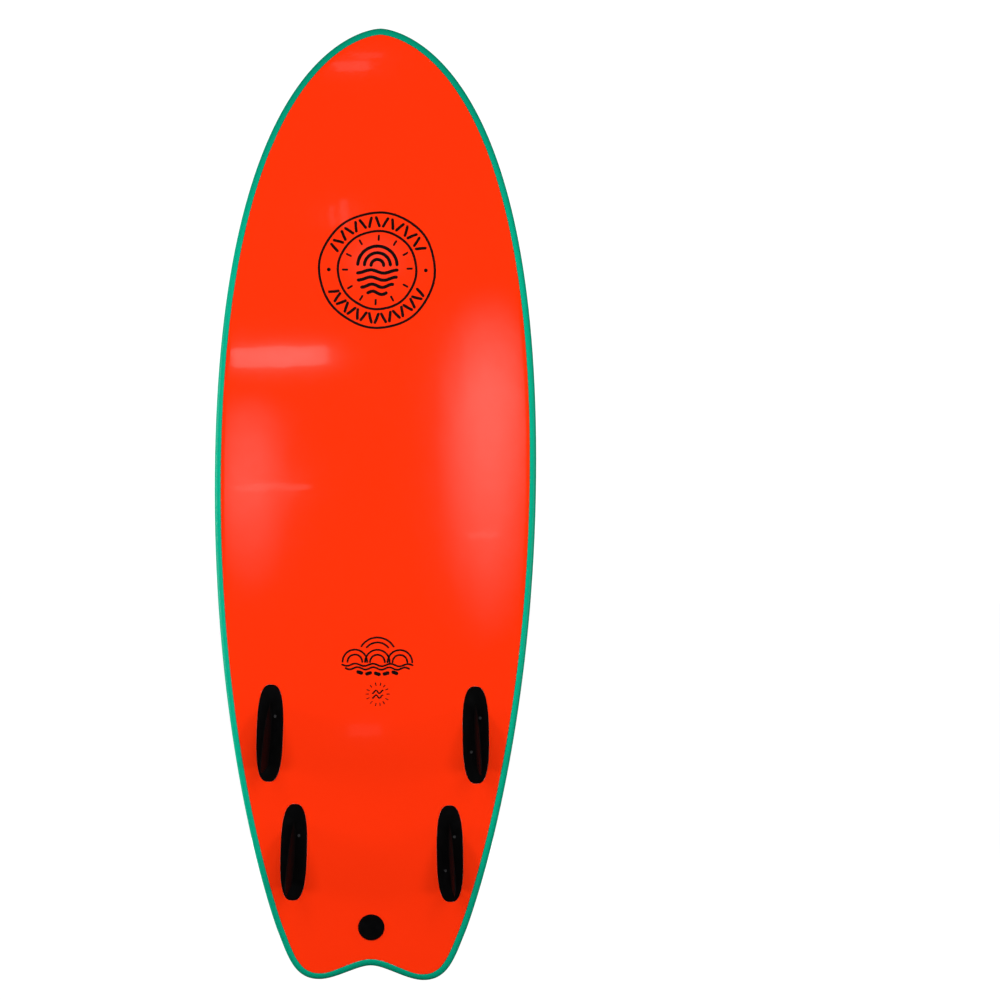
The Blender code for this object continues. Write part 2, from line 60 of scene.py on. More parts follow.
# ---------------- the board's form, as in the CAD model
THICKNESS = 0.066
WIDE_Z = 0.900
NOSE_HANDLE, WIDE_HANDLE_UP, WIDE_HANDLE_DOWN = 0.024, 0.764, 0.485
HIP, HIP_ANGLE = (0.167, 0.086), math.radians(22)
HIP_HANDLE_UP, HIP_HANDLE_DOWN = 0.020, 0.048
TIP_X, TIP_HANDLE_OUT, TIP_HANDLE_IN = 0.093, 0.045, 0.030
NOTCH_Z, NOTCH_HANDLE = 0.0255, 0.025
FLAT_LOW, FLAT_HIGH = 0.620, 0.980
NOSE_ROCKER, NOSE_POWER = 0.095, 2.2
TAIL_ROCKER, TAIL_POWER = 0.038, 2.0
THICKEST_Z = 0.860
NOSE_THICKNESS, TAIL_THICKNESS, THICKNESS_POWER = 0.027, 0.034, 2.2
APEX_SHARE, TUCK, SEAM = 0.30, 0.012, 0.0115
DECK_POWER, DECK_ROOT = 3.6, 2.5
SKIN, SLICK = 0.005, 0.0012
SPINE_LOW, SPINE_LOW_BLEND = 0.105, 0.080
SPINE_HIGH, SPINE_HIGH_BLEND = LENGTH - 0.060, 0.060

# Fineness of the visible skins.
ARC_STEPS = (66, 40, 22, 26)
RAIL_TURN, RAIL_STEPS = 62, 20  # degrees and rings from the rail's apex up on to the deck
DECK_STEPS, TUCK_STEPS, BOTTOM_STEPS = 12, 9, 20

# The foam's edge at the seam, and the slick's edge, which is rolled down over a few millimetres.
FOAM_ROUND = 0.0016
SLICK_ROUND, ROLL_WIDTH, ROLL_DROP = 0.0007, 0.0070, 0.00042
SEAM_GAP = 0.0004

# Fittings, as in the CAD model. CLEAR is how far a cutting tool stands out past what it cuts.
GAP, CLEAR = 0.0003, 0.006
BOX_PLACES = {"front": (0.183, 0.440), "rear": (0.139, 0.228)}
TOE_IN, CANT = math.radians(1.4), math.radians(5.0)
BOX_HALF_WIDTH, BOX_HALF_LENGTH, BOX_POWER = 0.0233, 0.0864, 2.8
FLANGE, FLANGE_PROUD, FLANGE_ROUND = 0.0024, 0.0006, 0.0006
PLUG_RADIUS, PLUG_DEPTH = 0.0145, 0.0170
RIB_HALF_WIDTH, RIB_DEPTH = 0.006, 0.009
TAB_SPACING, TAB_LENGTH, TAB_HALF_THICK, TAB_DEPTH, TAB_ROOT = 0.0604, 0.0220, 0.0028, 0.0130, 0.0022
SCREW_RADIUS, SCREW_LENGTH, SCREW_HOLE, SCREW_SIDE = 0.0025, 0.0060, 0.0085, 0.0088
SCREW_LEAN, SCREW_CHAMFER = math.radians(28), 0.00035
HEX_RADIUS, HEX_DEPTH = 0.0014, 0.0026
FIN_BASE, FIN_HEIGHT, FIN_THICK, FIN_TIP_THICK = 0.112, 0.112, 0.0066, 0.0022
FIN_TAPER, FIN_TIP_POWER, FIN_TIP_ROOT = 0.25, 2.4, 0.55
FIN_RAKE, FIN_RAKE_POWER, FIN_EDGE, FIN_FULLNESS = 0.050, 1.5, 0.0004, 0.75
FIN_SECTIONS, FIN_POINTS, FIN_LAST_SHARE, FIN_LEAST_HALF = 34, 33, 0.997, 0.00012
PLUG_Z = 0.095
CUP_FLANGE_RADIUS, CUP_FLANGE, CUP_PROUD, CUP_ROUND = 0.0232, 0.0022, 0.0010, 0.0007
CUP_RADIUS, CUP_DEPTH = 0.0208, 0.0190
SLOT_HALF_WIDTH, SLOT_HALF_LENGTH, SLOT_DEPTH, SLOT_RAMP = 0.0065, 0.0180, 0.0150, 0.0081
BAR_HALF_HEIGHT, BAR_THICK, BAR_SINK, BAR_NOTCH = 0.0048, 0.0050, 0.0012, 0.0020
GROOVES = (0.0100, 0.0140, 0.0178)
GROOVE_HALF_WIDTH, GROOVE_DEPTH, GROOVE_REACH = 0.0005, 0.0006, 0.0205
CAP_RADIUS, CAP_THICK, CAP_PROUD, CAP_ROUND = 0.0234, 0.0021, 0.0025, 0.0009
STEM_RADIUS, STEM_GAP = 0.0065, 0.0008
DECK_HOLE_DEPTH = 0.012

# Fineness of the fittings: steps round their outlines, and the widths of rounded edges.
OVAL_STEPS, DISC_STEPS, TAB_STEPS, STEM_STEPS, SCREW_STEPS, HEX_STEPS = 120, 96, 64, 48, 40, 6
BOX_EDGE, CUP_EDGE, BAR_EDGE = 0.0003, 0.00018, 0.0010

# Colours, linear.
ORANGE_RED = (0.97, 0.0315, 0.0028, 1.0)
TEAL = (0.0, 0.400, 0.236, 1.0)
BLACK = (0.0016, 0.0016, 0.0017, 1.0)
RED_INK, BLACK_INK = (0.80, 0.045, 0.008, 1.0), (0.004, 0.003, 0.003, 1.0)


# ---------------- making objects
def collection(name):
    found = bpy.data.collections.get(name)
    if found is None:
        found = bpy.data.collections.new(name)
        bpy.context.scene.collection.children.link(found)
    return found


def add(name, mesh, material=None):
    obj = bpy.data.objects.new(name, mesh)
    collection("looks").objects.link(obj)
    if material is not None:
        mesh.materials.append(material)
    return obj


def finish_mesh(obj, angle=35):
    obj.data.shade_smooth()
    obj.data.set_sharp_from_angle(angle=math.radians(angle))


def bake(obj):
    """Applies the object's modifiers and removes the pieces they used."""
    tools = [m.object for m in obj.modifiers if m.type == "BOOLEAN"]
    bpy.context.view_layer.update()
    evaluated = obj.evaluated_get(bpy.context.evaluated_depsgraph_get())
    mesh = bpy.data.meshes.new_from_object(evaluated)
    obj.modifiers.clear()
    old = obj.data
    obj.data = mesh
    mesh.name = old.name
    bpy.data.meshes.remove(old)
    for tool in tools:
        bpy.data.objects.remove(tool, do_unlink=True)


def boolean(obj, operation, mesh, place):
    tool = add("tool", mesh)
    tool.matrix_world = place
    modifier = obj.modifiers.new(operation.lower(), "BOOLEAN")
    modifier.operation = operation
    modifier.object = tool
    modifier.solver = "EXACT"


def round_edges(obj, width, segments=2):
    modifier = obj.modifiers.new("round edges", "BEVEL")
    modifier.width = width
    modifier.segments = segments
    modifier.limit_method = "ANGLE"
    modifier.angle_limit = math.radians(40)
    modifier.harden_normals = False


def settle(obj):
    """Puts the object's place into its mesh, so that its texture coordinates are in the board's frame."""
    obj.data.transform(obj.matrix_world)
    obj.matrix_world = Matrix.Identity(4)


def to_mesh(name, bm):
    bmesh.ops.recalc_face_normals(bm, faces=bm.faces)
    mesh = bpy.data.meshes.new(name)
    bm.to_mesh(mesh)
    bm.free()
    return mesh


# ---------------- node materials
class Look:
    """A material with a Principled shader, and helpers that hang textures on it."""

    def __init__(self, name, colour, roughness, **sockets):
        self.material = bpy.data.materials.new(name)
        self.material.use_nodes = True
        self.tree = self.material.node_tree
        self.shader = self.tree.nodes["Principled BSDF"]
        self.shader.inputs["Base Color"].default_value = colour
        self.shader.inputs["Roughness"].default_value = roughness
        for socket, value in sockets.items():
            self.shader.inputs[socket.replace("_", " ")].default_value = value
        self.coordinates = self.node("ShaderNodeTexCoord").outputs["Object"]
        self.height = None

    def node(self, kind, **values):
        made = self.tree.nodes.new(kind)
        for key, value in values.items():
            if hasattr(made, key):
                setattr(made, key, value)
            else:
                made.inputs[key.replace("_", " ")].default_value = value
        return made

    def link(self, output, socket):
        self.tree.links.new(output, socket)

    def stretched(self, scale):
        mapping = self.node("ShaderNodeMapping")
        mapping.inputs["Scale"].default_value = scale
        self.link(self.coordinates, mapping.inputs["Vector"])
        return mapping.outputs["Vector"]

    def noise(self, size, detail=2.0, stretch=None):
        """Noise whose features are about size metres across."""
        made = self.node("ShaderNodeTexNoise", Scale=1 / size, Detail=detail)
        self.link(self.stretched(stretch) if stretch else self.coordinates, made.inputs["Vector"])
        return made.outputs["Fac"]

    def cells(self, size):
        made = self.node("ShaderNodeTexVoronoi", Scale=1 / size)
        self.link(self.coordinates, made.inputs["Vector"])
        return made.outputs["Distance"]

    def ranged(self, value, low, high, to_low, to_high, smooth=False):
        made = self.node("ShaderNodeMapRange", From_Min=low, From_Max=high, To_Min=to_low, To_Max=to_high)
        if smooth:
            made.interpolation_type = "SMOOTHSTEP"
        self.link(value, made.inputs["Value"])
        return made.outputs["Result"]

    def mix(self, factor, a, b):
        """A colour between a and b by the factor's value."""
        made = self.node("ShaderNodeMix", data_type="RGBA")
        self.link(factor, made.inputs["Factor"])
        for socket, value in ((6, a), (7, b)):
            if isinstance(value, tuple):
                made.inputs[socket].default_value = value
            else:
                self.link(value, made.inputs[socket])
        return made.outputs[2]

    def math(self, operation, a, b):
        made = self.node("ShaderNodeMath", operation=operation)
        for socket, value in ((0, a), (1, b)):
            if isinstance(value, (int, float)):
                made.inputs[socket].default_value = value
            else:
                self.link(value, made.inputs[socket])
        return made.outputs[0]

    def colour(self, output):
        self.link(output, self.shader.inputs["Base Color"])

    def blend(self, value, low, high, a, b):
        """Colours the surface from a to b as the value goes from low to high."""
        self.colour(self.mix(self.ranged(value, low, high, 0.0, 1.0), a, b))

    def roughness(self, value, low, high):
        """Roughness from low to high over the middle of the value's range."""
        self.link(self.ranged(value, 0.3, 0.7, low, high), self.shader.inputs["Roughness"])

    def bump(self, height, distance, strength=1.0):
        """A bump of that height in metres on top of those before it."""
        made = self.node("ShaderNodeBump", Distance=distance, Strength=strength)
        self.link(height, made.inputs["Height"])
        if self.height is not None:
            self.link(self.height, made.inputs["Normal"])
        self.height = made.outputs["Normal"]
        self.link(self.height, self.shader.inputs["Normal"])


def shade(colour, factor):
    return tuple(c * factor for c in colour[:3]) + (1.0,)


def deck_foam_look():
    """Closed-cell foam with a heat-formed satin skin, with painted shade that makes the teal darker towards
    the nose and the tail.
    """
    look = Look("deck foam", TEAL, 0.5, Specular_IOR_Level=0.20)
    mottle = look.noise(0.160, 3.0)
    fine = look.noise(0.0060, 4.0)
    both = look.math("ADD", look.math("MULTIPLY", mottle, 0.75), look.math("MULTIPLY", fine, 0.25))
    patchy = look.ranged(both, 0.36, 0.64, 0.0, 1.0)
    z = look.node("ShaderNodeSeparateXYZ")
    look.link(look.coordinates, z.inputs["Vector"])
    # Painted shade: the teal darkens towards the tail and the nose, where less light falls on the rails.
    tail_painted_shade_fade = look.ranged(z.outputs["Z"], 0.05, 0.40, 0.35, 1.0, smooth=True)
    nose_painted_shade_fade = look.ranged(z.outputs["Z"], 1.20, 1.64, 1.0, 0.0, smooth=True)
    # The darker teal for the nose and tail ends is painted shade; the middle keeps the foam's own teal.
    ends = look.mix(patchy, shade(TEAL, 0.68), shade(TEAL, 0.72))
    body = look.mix(patchy, shade(TEAL, 0.97), shade(TEAL, 1.03))
    look.colour(look.mix(look.math("MULTIPLY", tail_painted_shade_fade, nose_painted_shade_fade), ends, body))
    look.roughness(look.noise(0.012, 3.0), 0.28, 0.38)
    look.bump(look.noise(0.0025, 3.0), 0.00012, 0.7)
    look.bump(look.cells(0.0009), 0.00005, 0.6)
    look.bump(look.noise(0.045, 2.0), 0.0004, 0.5)
    return look.material


def slick_look():
    """Glossy high-density plastic sheet: a hazy grain under a clear, faintly orange-peeled skin."""
    coat = {"Coat_Weight": 0.5, "Coat_Roughness": 0.03}
    look = Look("slick plastic", ORANGE_RED, 0.11, Specular_IOR_Level=0.5, **coat)
    mottle = look.noise(0.220, 2.0)
    look.blend(mottle, 0.35, 0.65, shade(ORANGE_RED, 0.985), ORANGE_RED)
    look.roughness(look.noise(0.014, 4.0), 0.09, 0.13)
    look.bump(look.noise(0.0600, 1.0), 0.00010, 1.0)
    look.link(look.height, look.shader.inputs["Coat Normal"])
    look.bump(look.noise(0.0032, 2.0), 0.000016, 1.0)
    return look.material


def ink_look(name, colour):
    """Screen-printed ink: slightly uneven cover and a satin surface."""
    look = Look(name, colour, 0.45, Specular_IOR_Level=0.3)
    cover = look.noise(0.0022, 4.0)
    look.blend(cover, 0.30, 0.62, shade(colour, 1.18), shade(colour, 0.92))
    look.roughness(cover, 0.36, 0.52)
    look.bump(look.noise(0.0008, 2.0), 0.00002, 0.5)
    return look.material


def black_plastic_look(name, colour, grain, roughness, shine):
    """Moulded black nylon with a fine spark-eroded grain, a little greyer where it is rubbed."""
    look = Look(name, colour, roughness, Specular_IOR_Level=shine)
    rubbed = look.noise(0.018, 4.0)
    look.blend(rubbed, 0.45, 0.75, colour, shade(colour, 1.8))
    look.roughness(rubbed, roughness - 0.05, roughness + 0.07)
    look.bump(look.noise(grain, 3.0), 0.00005, 0.7)
    look.bump(look.noise(grain * 14, 1.0), 0.00012, 0.5)
    return look.material


def screw_look():
    """Zinc-plated steel, dull and a little mottled."""
    look = Look("set screw steel", (0.09, 0.09, 0.093, 1.0), 0.45, Metallic=0.45)
    worn = look.noise(0.0012, 3.0)
    dark, bright = (0.060, 0.060, 0.063, 1.0), (0.13, 0.13, 0.134, 1.0)
    look.blend(worn, 0.4, 0.65, dark, bright)
    look.roughness(worn, 0.38, 0.52)
    look.bump(look.noise(0.0004, 2.0), 0.00002, 0.6)
    return look.material


def bead_foam_look(name, colour, bead):
    """Expanded bead foam: packed round cells with darker joints."""
    look = Look(name, colour, 0.85, Specular_IOR_Level=0.2)
    cells = look.cells(bead)
    look.blend(cells, 0.1, 0.7, colour, shade(colour, 0.82))
    look.bump(cells, bead * 0.2, 0.8)
    return look.material


def wood_look():
    """A plywood stringer, its grain along the board."""
    look = Look("stringer wood", (0.46, 0.29, 0.14, 1.0), 0.6, Specular_IOR_Level=0.3)
    grain = look.noise(0.004, 6.0, stretch=(1.0, 1.0, 0.04))
    dark, bright = (0.30, 0.17, 0.08, 1.0), (0.58, 0.38, 0.20, 1.0)
    look.blend(grain, 0.3, 0.7, dark, bright)
    look.bump(grain, 0.0002, 0.6)
    return look.material


# ---------------- the board's surfaces
def bezier(a, b, c, d, steps):
    """Points along a cubic arc, without its last one."""
    points = []
    for i in range(steps):
        t = i / steps
        s = 1 - t
        weights = (s**3, 3 * s * s * t, 3 * s * t * t, t**3)
        points.append(sum((w * Vector(p) for w, p in zip(weights, (a, b, c, d))), Vector((0, 0))))
    return points


def outline():
    """The outline as (x, z) points, from the nose down the right side to the notch and back."""
    nose, wide, hip = Vector((0, LENGTH)), Vector((WIDTH / 2, WIDE_Z)), Vector(HIP)
    tip, notch = Vector((TIP_X, 0)), Vector((0, NOTCH_Z))
    along = Vector((math.sin(HIP_ANGLE), math.cos(HIP_ANGLE)))
    up, out = Vector((0, 1)), Vector((1, 0))
    right = bezier(nose, nose + NOSE_HANDLE * out, wide + WIDE_HANDLE_UP * up, wide, ARC_STEPS[0])
    right += bezier(wide, wide - WIDE_HANDLE_DOWN * up, hip + HIP_HANDLE_UP * along, hip, ARC_STEPS[1])
    right += bezier(hip, hip - HIP_HANDLE_DOWN * along, tip + TIP_HANDLE_OUT * out, tip, ARC_STEPS[2])
    right += bezier(tip, tip - TIP_HANDLE_IN * out, notch + NOTCH_HANDLE * out, notch, ARC_STEPS[3])
    right.append(notch)
    return right + [Vector((-p.x, p.y)) for p in reversed(right[1:-1])]


def soft_clamp(z):
    """A height kept between the spine's ends, easing into them."""
    if z > SPINE_HIGH - SPINE_HIGH_BLEND:
        rest = min(z, SPINE_HIGH + SPINE_HIGH_BLEND) - SPINE_HIGH - SPINE_HIGH_BLEND
        return SPINE_HIGH - rest * rest / (4 * SPINE_HIGH_BLEND)
    if z < SPINE_LOW + SPINE_LOW_BLEND:
        rest = max(z, SPINE_LOW - SPINE_LOW_BLEND) - SPINE_LOW + SPINE_LOW_BLEND
        return SPINE_LOW + rest * rest / (4 * SPINE_LOW_BLEND)
    return z


def bottom_y(z):
    if z > FLAT_HIGH:
        return FLAT_Y - NOSE_ROCKER * ((z - FLAT_HIGH) / (LENGTH - FLAT_HIGH)) ** NOSE_POWER
    if z < FLAT_LOW:
        return FLAT_Y - TAIL_ROCKER * ((FLAT_LOW - z) / FLAT_LOW) ** TAIL_POWER
    return FLAT_Y


def thickness(z):
    if z > THICKEST_Z:
        end, share = NOSE_THICKNESS, (z - THICKEST_Z) / (LENGTH - THICKEST_Z)
    else:
        end, share = TAIL_THICKNESS, (THICKEST_Z - z) / THICKEST_Z
    return THICKNESS - (THICKNESS - end) * share**THICKNESS_POWER


def deck_y(z, share):
    apex = APEX_SHARE * thickness(z)
    rise = (1 - (1 - share) ** DECK_POWER) ** (1 / DECK_ROOT)
    return bottom_y(z) - apex - (thickness(z) - apex) * rise


def under_y(z, inset):
    curve = max(0.0, 1 - inset / TUCK)
    return bottom_y(z) - APEX_SHARE * thickness(z) * (1 - math.sqrt(1 - curve**2))


def centre_normal(z, on_deck):
    step = 0.001
    if on_deck:
        slope = (deck_y(z + step, 1.0) - deck_y(z - step, 1.0)) / (2 * step)
        return Vector((0, -1, slope)).normalized()
    slope = (bottom_y(z + step) - bottom_y(z - step)) / (2 * step)
    return Vector((0, 1, -slope)).normalized()


def seat(x, z, on_deck, toe_in=0.0):
    """A frame on the deck or the bottom: its Y axis points out and its Z axis to the nose."""
    out = centre_normal(z, on_deck)
    side = out.cross(Vector((0, 0, 1))).normalized()
    turn = Matrix((side, out, side.cross(out))).transposed().to_4x4()
    y = deck_y(z, 1.0) if on_deck else bottom_y(z)
    return Matrix.Translation((x, y, z)) @ turn @ Matrix.Rotation(toe_in, 4, "Y")


class Form:
    """The outline's points, each with its point on the spine and its reach from the edge to there."""

    def __init__(self):
        self.edge = outline()
        count = len(self.edge)
        self.spine = [Vector((0, soft_clamp(p.y))) for p in self.edge]
        self.reach = []
        for i, point in enumerate(self.edge):
            tangent = (self.edge[(i + 1) % count] - self.edge[i - 1]).normalized()
            inward = Vector((tangent.y, -tangent.x))
            self.reach.append((self.spine[i] - point).dot(inward))

    def deck_ring(self, share):
        ring = []
        for edge, spine in zip(self.edge, self.spine):
            x, z = edge.lerp(spine, share)
            ring.append((x, deck_y(z, share), z))
        return ring

    def sunk_ring(self, inset, share, height, depth):
        """A ring at an inset and then a share of the way to the spine, sunk along the bottom's normal."""
        ring = []
        for edge, spine, reach in zip(self.edge, self.spine, self.reach):
            start = inset / reach
            x, z = edge.lerp(spine, start + (1 - start) * share)
            ring.append(tuple(Vector((x, height(z), z)) - depth * centre_normal(z, False)))
        return ring

    def under_ring(self, inset, depth=0.0):
        """A ring at an inset from the edge."""
        return self.sunk_ring(inset, 0.0, lambda z: under_y(z, inset), depth)

    def bottom_ring(self, share, depth=0.0):
        """A ring at a share of the way from the slick's edge to the spine."""
        return self.sunk_ring(SEAM + ROLL_WIDTH, share, bottom_y, depth)


def offset_rings(rings, depth, end_normal):
    """Rings moved inwards along the surface's normals; the first lies on the spine."""
    points = np.array(rings)
    across = np.gradient(points, axis=0)
    around = np.roll(points, -1, axis=1) - np.roll(points, 1, axis=1)
    normals = np.cross(around, across)
    normals[0] = [tuple(end_normal(z)) for z in points[0, :, 2]]
    normals /= np.linalg.norm(normals, axis=2, keepdims=True)
    return points - normals * depth


def loft(name, sheets, seam):
    """A closed solid from two sheets of rings that meet at the ring numbered seam."""
    bm = bmesh.new()
    made = [[[bm.verts.new(p) for p in ring] for ring in sheet] for sheet in sheets]
    strips = [pair for sheet in made for pair in zip(sheet, sheet[1:])]
    strips.append((made[0][seam], made[1][seam]))
    for upper, lower in strips:
        for i in range(len(upper)):
            j = (i + 1) % len(upper)
            bm.faces.new((upper[i], upper[j], lower[j], lower[i]))
    bmesh.ops.remove_doubles(bm, verts=bm.verts, dist=0.00001)
    bmesh.ops.dissolve_degenerate(bm, edges=bm.edges, dist=0.00001)
    return to_mesh(name, bm)


def rounded_edge(radius, steps):
    """(way in from the edge, depth) pairs round a quarter circle, from the wall up to the face."""
    pairs = []
    for i in range(steps + 1):
        turn = math.pi / 2 * i / steps
        pairs.append((radius * (1 - math.cos(turn)), radius * (1 - math.sin(turn))))
    return pairs


def make_deck(form, look, holes):
    rings = [form.deck_ring(1 - i / DECK_STEPS * (1 - rail_share(RAIL_TURN))) for i in range(DECK_STEPS)]
    rings += [form.deck_ring(rail_share(RAIL_TURN * (1 - i / RAIL_STEPS))) for i in range(RAIL_STEPS)]
    smooth_rings = len(rings)
    for i in range(TUCK_STEPS):
        turn = math.pi / 2 * i / TUCK_STEPS
        rings.append(form.under_ring((SEAM - FOAM_ROUND) * (1 - math.cos(turn))))
    inner = list(offset_rings(rings[:smooth_rings], SKIN, lambda z: centre_normal(z, True)))
    for back, depth in reversed(rounded_edge(FOAM_ROUND, 4)):
        rings.append(form.under_ring(SEAM - back, depth))
    rings.append(form.under_ring(SEAM, SKIN * 0.6))
    inner.append(form.under_ring(SEAM, SKIN))
    obj = add("deck_foam", loft("deck_foam", (rings, inner), -1), look)
    for mesh, place in holes:
        boolean(obj, "DIFFERENCE", mesh, place)
    bake(obj)
    finish_mesh(obj, 50)
    return obj


def rail_share(turn):
    """The share of the way to the spine at which the deck has risen by the sine of a turn, in degrees."""
    rise = math.sin(math.radians(turn))
    return 1 - (1 - rise**DECK_ROOT) ** (1 / DECK_POWER)


def ripple(point):
    """The slick's slight unevenness, in metres."""
    x, _, z = point
    broad = noise.noise(Vector((x * 3.4, 1.7, z * 4.6)))
    close = noise.noise(Vector((x * 8.0, 9.1, z * 13.0)))
    return 0.00022 * broad + 0.00006 * close


def make_slick(form, look, holes):
    start = SEAM + SEAM_GAP
    outer = [form.under_ring(start, SLICK * 0.9)]
    for back, depth in rounded_edge(SLICK_ROUND, 4):
        roll = ROLL_DROP * (1 - (back + SEAM_GAP) / ROLL_WIDTH) ** 2
        outer.append(form.under_ring(start + back, depth + roll))
    for i in range(1, 8):
        way = SLICK_ROUND + SEAM_GAP + (ROLL_WIDTH - SLICK_ROUND - SEAM_GAP) * i / 8
        outer.append(form.under_ring(SEAM + way, ROLL_DROP * (1 - way / ROLL_WIDTH) ** 2))
    outer += [form.bottom_ring(i / BOTTOM_STEPS) for i in range(BOTTOM_STEPS + 1)]
    inner = [form.under_ring(start, SLICK), form.bottom_ring(0.0, SLICK), form.bottom_ring(1.0, SLICK)]
    rippled = [[(x, y + ripple((x, y, z)), z) for x, y, z in ring] for ring in outer]
    obj = add("slick_bottom", loft("slick_bottom", (rippled, inner), 0), look)
    for mesh, place in holes:
        boolean(obj, "DIFFERENCE", mesh, place)
    bake(obj)
    finish_mesh(obj, 50)
    return obj


# ---------------- simple solids
def block(low, high):
    bm = bmesh.new()
    bmesh.ops.create_cube(bm, size=1.0)
    low, high = Vector(low), Vector(high)
    for vert in bm.verts:
        vert.co = Vector(v * s for v, s in zip(vert.co, high - low)) + (low + high) / 2
    return to_mesh("block", bm)


def turned(outlines):
    """A solid from outlines of (x, y, z) points stacked on each other."""
    bm = bmesh.new()
    rings = [[bm.verts.new(p) for p in ring] for ring in outlines]
    for lower, upper in zip(rings, rings[1:]):
        for i in range(len(lower)):
            j = (i + 1) % len(lower)
            bm.faces.new((lower[i], lower[j], upper[j], upper[i]))
    bm.faces.new(rings[0])
    bm.faces.new(rings[-1])
    return to_mesh("turned", bm)


def oval(half_width, half_length, power, steps):
    points = []
    for i in range(steps):
        turn = 2 * math.pi * (i + 0.5) / steps
        c, s = math.cos(turn), math.sin(turn)
        x = half_width * math.copysign(abs(c) ** (2 / power), c)
        z = half_length * math.copysign(abs(s) ** (2 / power), s)
        points.append((x, z))
    return points


def plate(points, low, high, rounding):
    """An outline made solid from y = low to y = high, with a rounded upper edge."""
    outlines = [[(x, low, z) for x, z in points]]
    for back, depth in rounded_edge(rounding, 5):
        ring = []
        for x, z in points:
            shrink = 1 - back / math.hypot(x, z)
            ring.append((x * shrink, high - depth, z * shrink))
        outlines.append(ring)
    return turned(outlines)


def prism(points, low, high):
    """An outline made solid from y = low to y = high."""
    return turned([[(x, y, z) for x, z in points] for y in (low, high)])


def disc(radius, low, high, steps, chamfer=0.0):
    points = oval(radius, radius, 2, steps)
    if not chamfer:
        return prism(points, low, high)
    shrink = 1 - chamfer / radius
    outlines = [[(x, low, z) for x, z in points], [(x, high - chamfer, z) for x, z in points]]
    outlines.append([(x * shrink, high, z * shrink) for x, z in points])
    return turned(outlines)


def ride(obj, body, slot, *nodes):
    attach(obj, body)
    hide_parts(*nodes)


def fit(obj, body, slot, node, angle=35):
    """Finishes a fitting: its modifiers applied and its mesh in the board's frame, in its node's stead."""
    bake(obj)
    settle(obj)
    finish_mesh(obj, angle)
    ride(obj, body, slot, node)


# ---------------- fin boxes, screws and fins
def screw_place(place, end):
    head = Matrix.Translation((-end * SCREW_SIDE, FLANGE_PROUD - GAP, end * TAB_SPACING / 2))
    return place @ head @ Matrix.Rotation(end * SCREW_LEAN, 4, "Z")


def make_fin_box(label, place, cant, look):
    points = oval(BOX_HALF_WIDTH, BOX_HALF_LENGTH, BOX_POWER, OVAL_STEPS)
    obj = add(f"box_{label}", plate(points, FLANGE_PROUD - FLANGE, FLANGE_PROUD, FLANGE_ROUND), look)
    obj.matrix_world = place
    under = FLANGE_PROUD - FLANGE / 2
    half = TAB_SPACING / 2
    boolean(obj, "UNION", block((-RIB_HALF_WIDTH, -RIB_DEPTH, -half), (RIB_HALF_WIDTH, under, half)), place)
    for end in (1, -1):
        tab = Matrix.Translation((0, 0, end * half))
        boolean(obj, "UNION", disc(PLUG_RADIUS, -PLUG_DEPTH, under, TAB_STEPS), place @ tab)
    for end in (1, -1):
        reach = TAB_LENGTH / 2 + GAP
        low = (-TAB_HALF_THICK - GAP, -TAB_DEPTH - GAP, end * half - reach)
        high = (TAB_HALF_THICK + GAP, CLEAR, end * half + reach)
        boolean(obj, "DIFFERENCE", block(low, high), place @ cant)
        hole = disc(SCREW_RADIUS + GAP, -SCREW_HOLE, CLEAR, SCREW_STEPS)
        boolean(obj, "DIFFERENCE", hole, screw_place(place, end))
    bake(obj)
    round_edges(obj, BOX_EDGE)
    fit(obj, BOARD, "box_plastic", f"fin_box_{label}")


def make_screw(label, place, look):
    mesh = disc(SCREW_RADIUS, -SCREW_LENGTH, 0, SCREW_STEPS, chamfer=SCREW_CHAMFER)
    obj = add(f"screw_{label}", mesh, look)
    obj.matrix_world = place
    boolean(obj, "DIFFERENCE", disc(HEX_RADIUS, -HEX_DEPTH, CLEAR, HEX_STEPS), place)
    fit(obj, f"grub_screw_{label}", "screw_steel", f"grub_screw_{label}")


def fin_section(share):
    """The foil at a share of the fin's height, as points round it."""
    chord = FIN_BASE * (1 - FIN_TAPER * share) * (1 - share**FIN_TIP_POWER) ** FIN_TIP_ROOT
    middle = -FIN_RAKE * share**FIN_RAKE_POWER
    thick = FIN_THICK + (FIN_TIP_THICK - FIN_THICK) * share
    y = 2 * GAP + FLANGE_PROUD + FIN_HEIGHT * share
    front, back = [], []
    last = FIN_POINTS - 1
    for i in range(FIN_POINTS):
        along = 0.5 - 0.5 * math.cos(math.pi * i / last)
        edge = FIN_EDGE * math.sin(math.pi * min(1.0, i / 2, (last - i) / 2) / 2)
        half = max(thick / 2 * math.sin(math.pi * along**FIN_FULLNESS), edge)
        half = max(half, FIN_LEAST_HALF)
        z = middle + chord * (0.5 - along)
        front.append((half, y, z))
        back.append((-half, y, z))
    return front + back[::-1]


def make_fin(label, place, look):
    turns = [math.pi / 2 * i / FIN_SECTIONS for i in range(FIN_SECTIONS + 1)]
    sections = [fin_section(FIN_LAST_SHARE * math.sin(turn)) for turn in turns]
    obj = add(f"blade_{label}", turned(sections), look)
    obj.matrix_world = place
    for end in (1, -1):
        middle = end * TAB_SPACING / 2
        low = (-TAB_HALF_THICK, -TAB_DEPTH, middle - TAB_LENGTH / 2)
        high = (TAB_HALF_THICK, FLANGE_PROUD + TAB_ROOT, middle + TAB_LENGTH / 2)
        boolean(obj, "UNION", block(low, high), place)
    fit(obj, f"fin_{label}", "fin_plastic", f"fin_{label}", 40)


